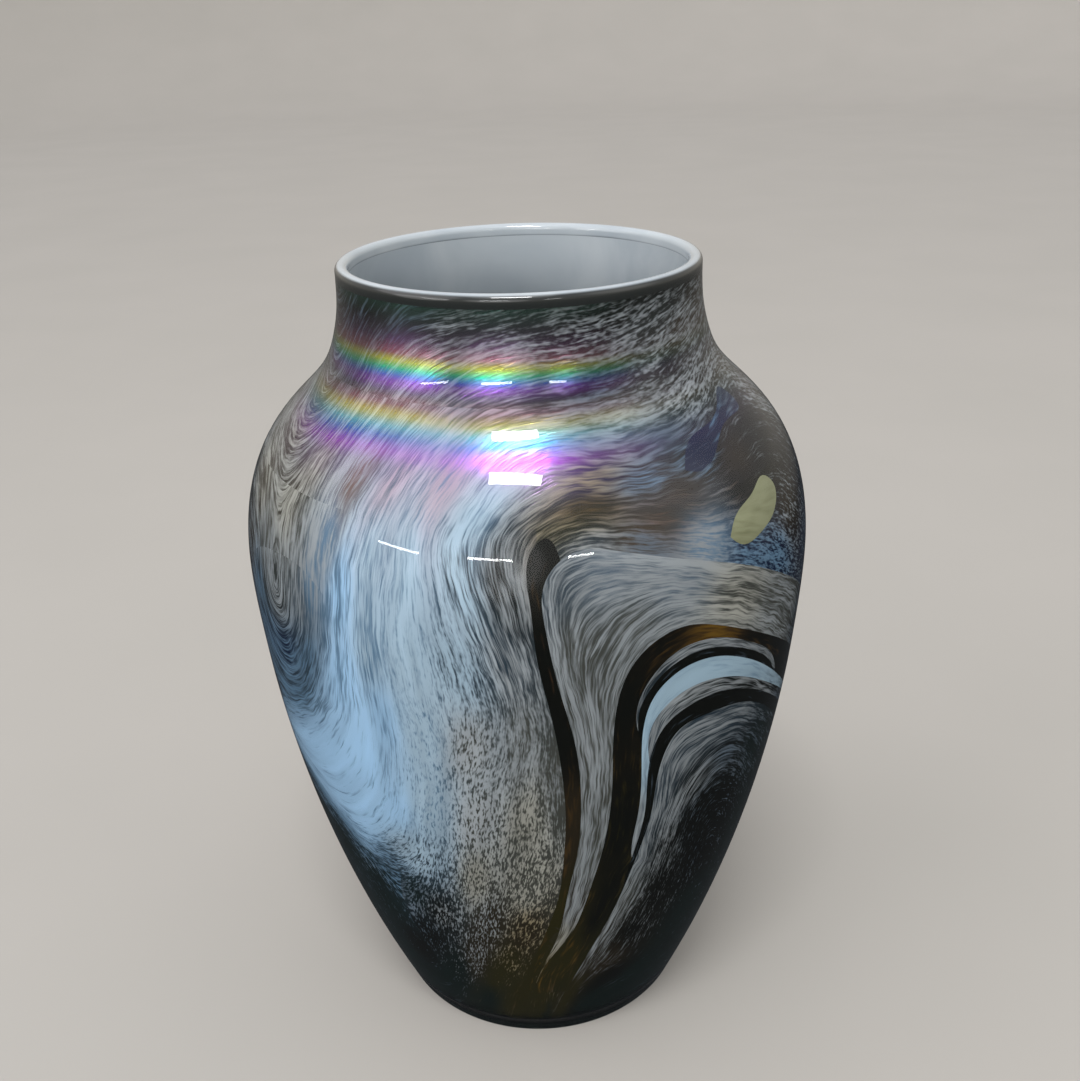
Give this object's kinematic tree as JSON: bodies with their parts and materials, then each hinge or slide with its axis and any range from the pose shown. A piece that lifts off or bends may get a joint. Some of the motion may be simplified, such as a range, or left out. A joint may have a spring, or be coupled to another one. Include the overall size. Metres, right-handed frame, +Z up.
{
  "type": "art glass vase",
  "caption": "Hand blown pear shaped vase with a short open neck: streaked and arched coloured glass under a clear casing, opal inside, flat foot.",
  "frame": {"origin": "centre of the foot, on the surface that the vase stands on", "axes": "+Z up along the axis of the vase; -Y is the front, with the pale arch to the right of it"},
  "size_m": [0.1714, 0.1714, 0.25],
  "materials": {
    "clear_crystal": "fire-polished clear glass with a faint iridescent lustre",
    "pale_lip": "pale grey opal glass, fire-polished",
    "opal_lining": "pale blue-grey opal glass, smooth",
    "amber_ground": "dark amber glass",
    "frit_grey": "warm grey frit, pulled into streaks, under clear glass",
    "dark_amber": "dark brown-black glass with an amber glow low down",
    "pale_streak": "pale grey-blue streaks over dark glass",
    "opal_blue": "solid pale blue-grey opal glass",
    "black_teal": "black glass with a green-blue cast",
    "navy_speckle": "dark blue frit on black glass",
    "navy": "dark blue glass",
    "celadon": "pale celadon opal glass",
    "shoulder_streak": "pale and olive streaks drawn round the shoulder",
    "neck_streak": "fine pale strokes on dark glass, iridescent"
  },
  "bodies": {
    "root": {"clear_casing": "clear_crystal", "lip_wrap": "pale_lip", "opal_lining": "opal_lining", "amber_ground": "amber_ground", "dark_foot": "black_teal", "celadon_eye": "celadon", "right_frit_fan": "frit_grey", "lower_dark_arch": "black_teal", "grey_under_arch": "pale_streak", "opal_arch": "opal_blue", "dark_arch_line": "dark_amber", "grey_sub_arch": "pale_streak", "amber_arch": "dark_amber", "centre_plume": "pale_streak", "first_amber_line": "dark_amber", "front_frit_field": "frit_grey", "navy_speckle_field": "navy_speckle", "left_pale_sweep": "pale_streak", "left_blue_feather": "navy_speckle", "smoke_dark_field": "black_teal", "back_frit_fan": "frit_grey", "back_dark_arch": "dark_amber", "back_opal_arch": "opal_blue", "back_frit_field": "frit_grey", "navy_hook": "navy", "shoulder_shawl": "shoulder_streak", "neck_band": "neck_streak"}
  },
  "joints": []
}
